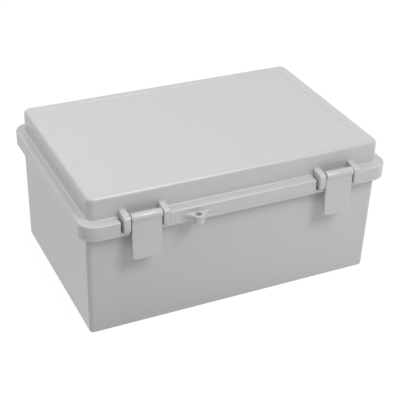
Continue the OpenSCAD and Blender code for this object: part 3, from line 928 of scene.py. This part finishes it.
def make_tab(name, low, high):
    tab = prism(name, tab_outline(-RIM[1] + TAB_ROOT), "Z", low, high, TAB_EDGE)
    hole = rod("hole", (TAB_X, tab_low.y + HOLE_BACK, (low + high) / 2), HOLE_R,
               3 * (high - low), "Z", 32)
    combine(tab, [hole], "DIFFERENCE")
    return shade(tab, shell_plastic)


lid_tab = make_tab("padlock_tab_lid", tab_low.z, tab_high.z)
place_piece(lid_tab, "lid", "polycarbonate", "lid_padlock_tab")
base_tab_low, base_tab_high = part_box("base_padlock_tab")
base_tab = make_tab("padlock_tab_base", base_tab_low.z, base_tab_high.z)
clear = block("clear", (-RIM[0], -RIM[1] - PART_GAP, LIP_TOP), (RIM[0], 0, LEDGE_Z))
combine(base_tab, [clear], "DIFFERENCE")
shade(base_tab, shell_plastic)
place_piece(base_tab, "base", "polycarbonate", "base_padlock_tab")
print("tabs:", len(lid_tab.data.polygons), "and", len(base_tab.data.polygons), "faces")

# %% [markdown]
# ## Geometry Nodes: copies at four corners
# The panel's screws, washers and inserts and the inserts of the underside all stand at the corners
# of a rectangle. One node tree copies a piece there. Each copy is turned by its own angle, since no
# two screws end up with their recess in line.

# %% The corner tree
def make_corner_tree():
    tree, given, result = new_tree(
        "corner_copies", "GeometryNodeTree",
        [("Piece", "NodeSocketGeometry", None), ("Length", "NodeSocketFloat", 0.2),
         ("Depth", "NodeSocketFloat", 0.1), ("Height", "NodeSocketFloat", 0.0),
         ("Turn", "NodeSocketFloat", 0.7), ("Material", "NodeSocketMaterial", None)],
        [("Mesh", "NodeSocketGeometry")])
    corners = put(tree, "GeometryNodeMeshGrid", given["Length"], given["Depth"], 2, 2)
    angle = calc(tree, "MULTIPLY", put(tree, "GeometryNodeInputIndex"), given["Turn"])
    spin = put(tree, "ShaderNodeCombineXYZ", 0.0, 0.0, angle)
    copies = put(tree, "GeometryNodeInstanceOnPoints", corners, True, given["Piece"])
    tree.links.new(spin, copies.node.inputs["Rotation"])
    lift = put(tree, "ShaderNodeCombineXYZ", 0.0, 0.0, given["Height"])
    raised = put(tree, "GeometryNodeTranslateInstances", copies, True, lift)
    real = put(tree, "GeometryNodeRealizeInstances", raised)
    dressed = put(tree, "GeometryNodeSetMaterial", real, True, given["Material"])
    tree.links.new(dressed, result["Mesh"])
    return tree


corner_tree = make_corner_tree()
print("corner tree:", len(corner_tree.nodes), "nodes")


def at_four(piece, half, height, turn, material, slot, node):
    """Copies a piece to four corners and hands the copies over as one piece of the base."""
    grow(piece, corner_tree, Length=2 * half[0], Depth=2 * half[1], Height=height, Turn=turn,
         Material=material)
    shade(piece, material)
    place_piece(piece, "base", slot, node)
    print(node, "->", len(piece.data.polygons), "faces")


# %% [markdown]
# ## Panel, screws, washers and inserts
# The panel is a zinc plated sheet with rounded edges. A screw is a pan head with a cross recess on
# a plain shank. An insert is a brass ring. Those of the underside show their thread as grooves in
# the bore, and those of the panel have none, since a screw fills each of them.

# %% Mounting panel
panel_low, panel_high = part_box("mounting_panel")
head_low, head_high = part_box("panel_screws")
washer_low, washer_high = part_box("panel_washers")
PANEL_R = 8 * MM
SCREW_R = 2 * MM
HEAD_R = head_high.x - PANEL_AT[0]
DRILL_GAP = 0.3 * MM
DRILL_L = 6 * MM
PANEL_EDGE = 0.3 * MM


def rounded_plate(half, radius, steps=8):
    """The outline of a rectangle with round corners."""
    points = []
    for i, (sx, sy) in enumerate([(1, 1), (-1, 1), (-1, -1), (1, -1)]):
        centre = (sx * (half[0] - radius), sy * (half[1] - radius))
        points += arc(centre, radius, 90 * i, 90 * i + 90, steps)
    return points


panel = prism("panel", rounded_plate((panel_high.x, panel_high.y), PANEL_R), "Z",
              panel_low.z, panel_high.z, PANEL_EDGE)
drills = at_corners(PANEL_AT, lambda x, y: rod("drill", (x, y, panel_high.z), SCREW_R + DRILL_GAP,
                                               DRILL_L, "Z"))
combine(panel, drills, "DIFFERENCE")
shade(panel, zinc_plate)
place_piece(panel, "base", "zinc_plate", "mounting_panel")
print("panel:", len(panel.data.polygons), "faces")

# %% Screws and washers
head_z = washer_high.z
dome = head_high.z - head_z
shank_end = head_low.z - head_z
TIP_EDGE = 0.5 * MM
CROSS_L, CROSS_T = 2 * MM, 0.4 * MM

# (radius, height) from the middle of the domed head down to the shank's end
screw = turned("screws", [
    (0, dome), (HEAD_R * 0.55, dome - 0.1 * MM), (HEAD_R * 0.85, dome - 0.5 * MM),
    (HEAD_R, dome - 1.3 * MM), (HEAD_R, 0), (SCREW_R, 0),
    (SCREW_R, shank_end + TIP_EDGE), (SCREW_R - TIP_EDGE, shank_end), (0, shank_end)])
arms = [block("arm", (-a, -b, dome / 2), (a, b, dome + OVER))
        for a, b in ((CROSS_L, CROSS_T), (CROSS_T, CROSS_L))]
combine(screw, arms, "DIFFERENCE")
at_four(screw, PANEL_AT, head_z, 0.7, zinc_plate, "zinc_plate", "panel_screws")

WASHER_R = washer_high.x - PANEL_AT[0]
WASHER_IN = SCREW_R + 0.15 * MM
WASHER_T = washer_high.z - washer_low.z
WASHER_EDGE = 0.2 * MM
washer = turned("washers", [(WASHER_IN, 0), (WASHER_R, 0), (WASHER_R, WASHER_T - WASHER_EDGE),
                            (WASHER_R - WASHER_EDGE, WASHER_T), (WASHER_IN, WASHER_T)])
at_four(washer, PANEL_AT, washer_low.z, 0.0, zinc_plate, "zinc_plate", "panel_washers")


# %% Brass inserts
PITCH = 0.8 * MM
THREAD_FROM = 0.6 * MM
MOUTH = 0.5 * MM
FOOT_BORE = 2.1 * MM
THREAD_DEPTH = 0.35 * MM


def make_insert(name, length, bore, deep):
    """A ring with a chamfered mouth, and grooves cut outwards from its bore."""
    turns = int((length - 2 * THREAD_FROM) / PITCH)
    loop = [(INSERT_R, 0), (INSERT_R, length), (bore + deep, length)]
    for i in range(turns, 0, -1):
        z = THREAD_FROM + PITCH * i
        loop += [(bore, z), (bore + deep, z - PITCH / 2)]
    return turned(name, loop + [(bore, MOUTH), (bore + MOUTH, 0)])


panel_insert = make_insert("panel_inserts_visual", screw_high.z - screw_low.z, SCREW_R, 0.0)
at_four(panel_insert, PANEL_AT, screw_low.z, 0.0, brass, "brass", "panel_inserts")
foot_insert = make_insert("foot_inserts_visual", foot_high.z - foot_low.z, FOOT_BORE, THREAD_DEPTH)
at_four(foot_insert, FOOT_AT, foot_low.z, 0.0, brass, "brass", "foot_inserts")

# %% Pins
PIN_EDGE = 0.25 * MM

for node, body in (("hinge_pin_left", "base"), ("hinge_pin_right", "base"),
                   ("latch_pin_left", "lid"), ("latch_pin_right", "lid")):
    low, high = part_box(node)
    middle = (low + high) / 2
    pin = rod(node + "_visual", middle, PIN_R, high.x - low.x, edge=PIN_EDGE)
    shade(pin, stainless)
    place_piece(pin, body, "stainless", node)
    print(node, "->", len(pin.data.polygons), "faces")

# %% [markdown]
# ## Studio
# A white floor fills the view, open under the part so that its underside can be looked at. Seen
# directly it is plain white with a faint shadow, while the light that reaches the object comes from
# the sky, from the floor and from soft boxes. For the light it bounces, the floor's tone is painted
# shade towards the rear left and painted light towards the front right. The rear box lights the
# lid's top but isn't mirrored in it, since its image there would burn out when seen from the front
# right.

# %% Studio
FLOOR_HALF = 6
FLOOR_UNDER = 10 * MM
FLOOR_SLOPE = 1.4
FLOOR_MIDDLE = 0.54
FLOOR_PAINTED_SHADES = (0.1, 0.93)
FLOOR_WHITE = 0.9
FLOOR_GLOW = 1.06
FLOOR_GLOW_SHARE = 0.88
SKY_LIGHT = 0.25
AIM = Vector((0, 0, 0.06))
PLAIN = (1, 1, 1)
YELLOWISH = (1, 1, 0.93)

# name, direction from the aim, distance and size in metres, power in watts, colour
LAMPS = (
    ("key", (0.26, -0.62, 0.73), 1.6, 0.6, 9.7, PLAIN),
    ("rear", (-0.42, 0.76, 0.49), 1.4, 1.2, 5.4, PLAIN),
    ("top", (0, 0, 1), 1.2, 1.0, 3.5, YELLOWISH),
    ("right", (1, 0, 0.35), 3.0, 3.0, 16, PLAIN),
    ("left", (-0.81, -0.03, 0.58), 0.62, 0.25, 0.58, PLAIN),
)


def seen_directly(tree):
    """1 for rays from the camera, from gloss and through glass."""
    path = tree.nodes.new("ShaderNodeLightPath").outputs
    direct = calc(tree, "MAXIMUM", path["Is Camera Ray"], path["Is Glossy Ray"])
    return calc(tree, "MAXIMUM", direct, path["Is Transmission Ray"])


def make_floor():
    """Four quads round a hole. For bounced light, painted shade at the rear left, painted light at
    the front right.
    """
    mesh = bpy.data.meshes.new("floor")
    outer = (FLOOR_HALF, FLOOR_HALF)
    inner = (WALL_FOOT[0] - FLOOR_UNDER, WALL_FOOT[1] - FLOOR_UNDER)
    signs = ((-1, -1), (1, -1), (1, 1), (-1, 1))
    points = [(sx * x, sy * y, 0) for x, y in (outer, inner) for sx, sy in signs]
    faces = [(i, (i + 1) % 4, (i + 1) % 4 + 4, i + 4) for i in range(4)]
    mesh.from_pydata(points, [], faces)
    floor = new_object("floor", mesh)
    material = bpy.data.materials.new("floor")
    material.use_nodes = True
    tree = material.node_tree
    seen = seen_directly(tree)
    spot = tree.nodes.new("ShaderNodeSeparateXYZ")
    tree.links.new(tree.nodes.new("ShaderNodeTexCoord").outputs["Object"], spot.inputs[0])
    # Painted shade and light: the tone the floor bounces is darker towards the rear left and
    # lighter towards the front right.
    across = calc(tree, "SUBTRACT", spot.outputs["X"], spot.outputs["Y"])
    slope = calc(tree, "MULTIPLY_ADD", across, FLOOR_SLOPE, FLOOR_MIDDLE)
    darkest, brightest = FLOOR_PAINTED_SHADES
    bounce = calc(tree, "MINIMUM", calc(tree, "MAXIMUM", slope, darkest), brightest)
    tone = calc(tree, "MAXIMUM", bounce, calc(tree, "MULTIPLY", seen, FLOOR_WHITE))
    matt = put(tree, "ShaderNodeBsdfDiffuse", tone)
    glow = put(tree, "ShaderNodeEmission", (1, 1, 1, 1), FLOOR_GLOW)
    share = calc(tree, "MULTIPLY", seen, FLOOR_GLOW_SHARE)
    surface = put(tree, "ShaderNodeMixShader", share, matt, glow)
    tree.links.new(surface, tree.nodes["Material Output"].inputs[0])
    mesh.materials.append(material)


def make_sky(strength):
    """White where it is seen, and this strong as a light."""
    world = bpy.data.worlds.new("sky")
    bpy.context.scene.world = world
    world.use_nodes = True
    tree = world.node_tree
    level = calc(tree, "MULTIPLY_ADD", seen_directly(tree), 1.0 - strength, strength)
    background = tree.nodes["Background"]
    background.inputs["Color"].default_value = (1, 1, 1, 1)
    world.cycles.sampling_method = "NONE"
    tree.links.new(level, background.inputs["Strength"])


def make_lamp(name, toward, distance, size, power, color):
    """A square soft box that faces the middle of the object from a direction."""
    place = AIM + distance * Vector(toward).normalized()
    facing = (place - AIM).to_track_quat("Z", "Y").to_matrix().to_4x4()
    data = bpy.data.lights.new(name, "AREA")
    data.shape = "SQUARE"
    data.size = size
    data.energy = power
    data.color = color
    lamp = bpy.data.objects.new(name, data)
    lamp.matrix_world = Matrix.Translation(place) @ facing
    bpy.context.scene.collection.objects.link(lamp)
    return lamp


make_floor()
make_sky(SKY_LIGHT)
lamps = {values[0]: make_lamp(*values) for values in LAMPS}
lamps["rear"].visible_glossy = False
print("studio: a floor, a sky and", len(lamps), "soft boxes")
